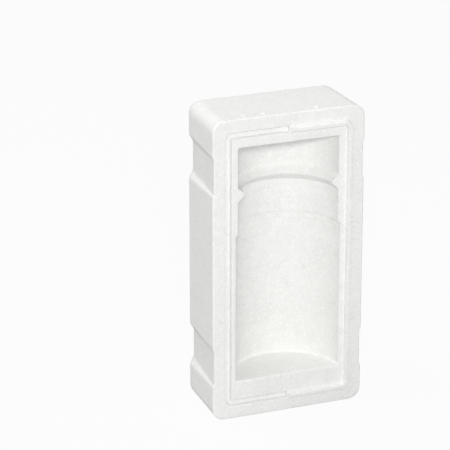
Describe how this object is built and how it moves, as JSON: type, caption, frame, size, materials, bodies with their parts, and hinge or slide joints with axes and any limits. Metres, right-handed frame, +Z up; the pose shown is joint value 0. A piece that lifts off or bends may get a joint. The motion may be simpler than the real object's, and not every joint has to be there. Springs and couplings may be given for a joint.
{
  "type": "foam bottle shipper insert",
  "caption": "Moulded foam half of a bottle shipper: rounded upright block with a half-round bottle cavity, neck collar, sealing ridge and groove on the mating face and finger recesses.",
  "frame": {"origin": "on the foot face, under the middle of the half's own box with the ridge included", "axes": "+Z up from the foot to the head, -Y out of the mating face, +X towards the side with the ridge"},
  "size_m": [0.097, 0.0512, 0.19],
  "materials": {
    "eps_foam": "matt white expanded polystyrene with a fine bead grain"
  },
  "bodies": {
    "root": {"foam_half": "eps_foam"}
  },
  "joints": []
}
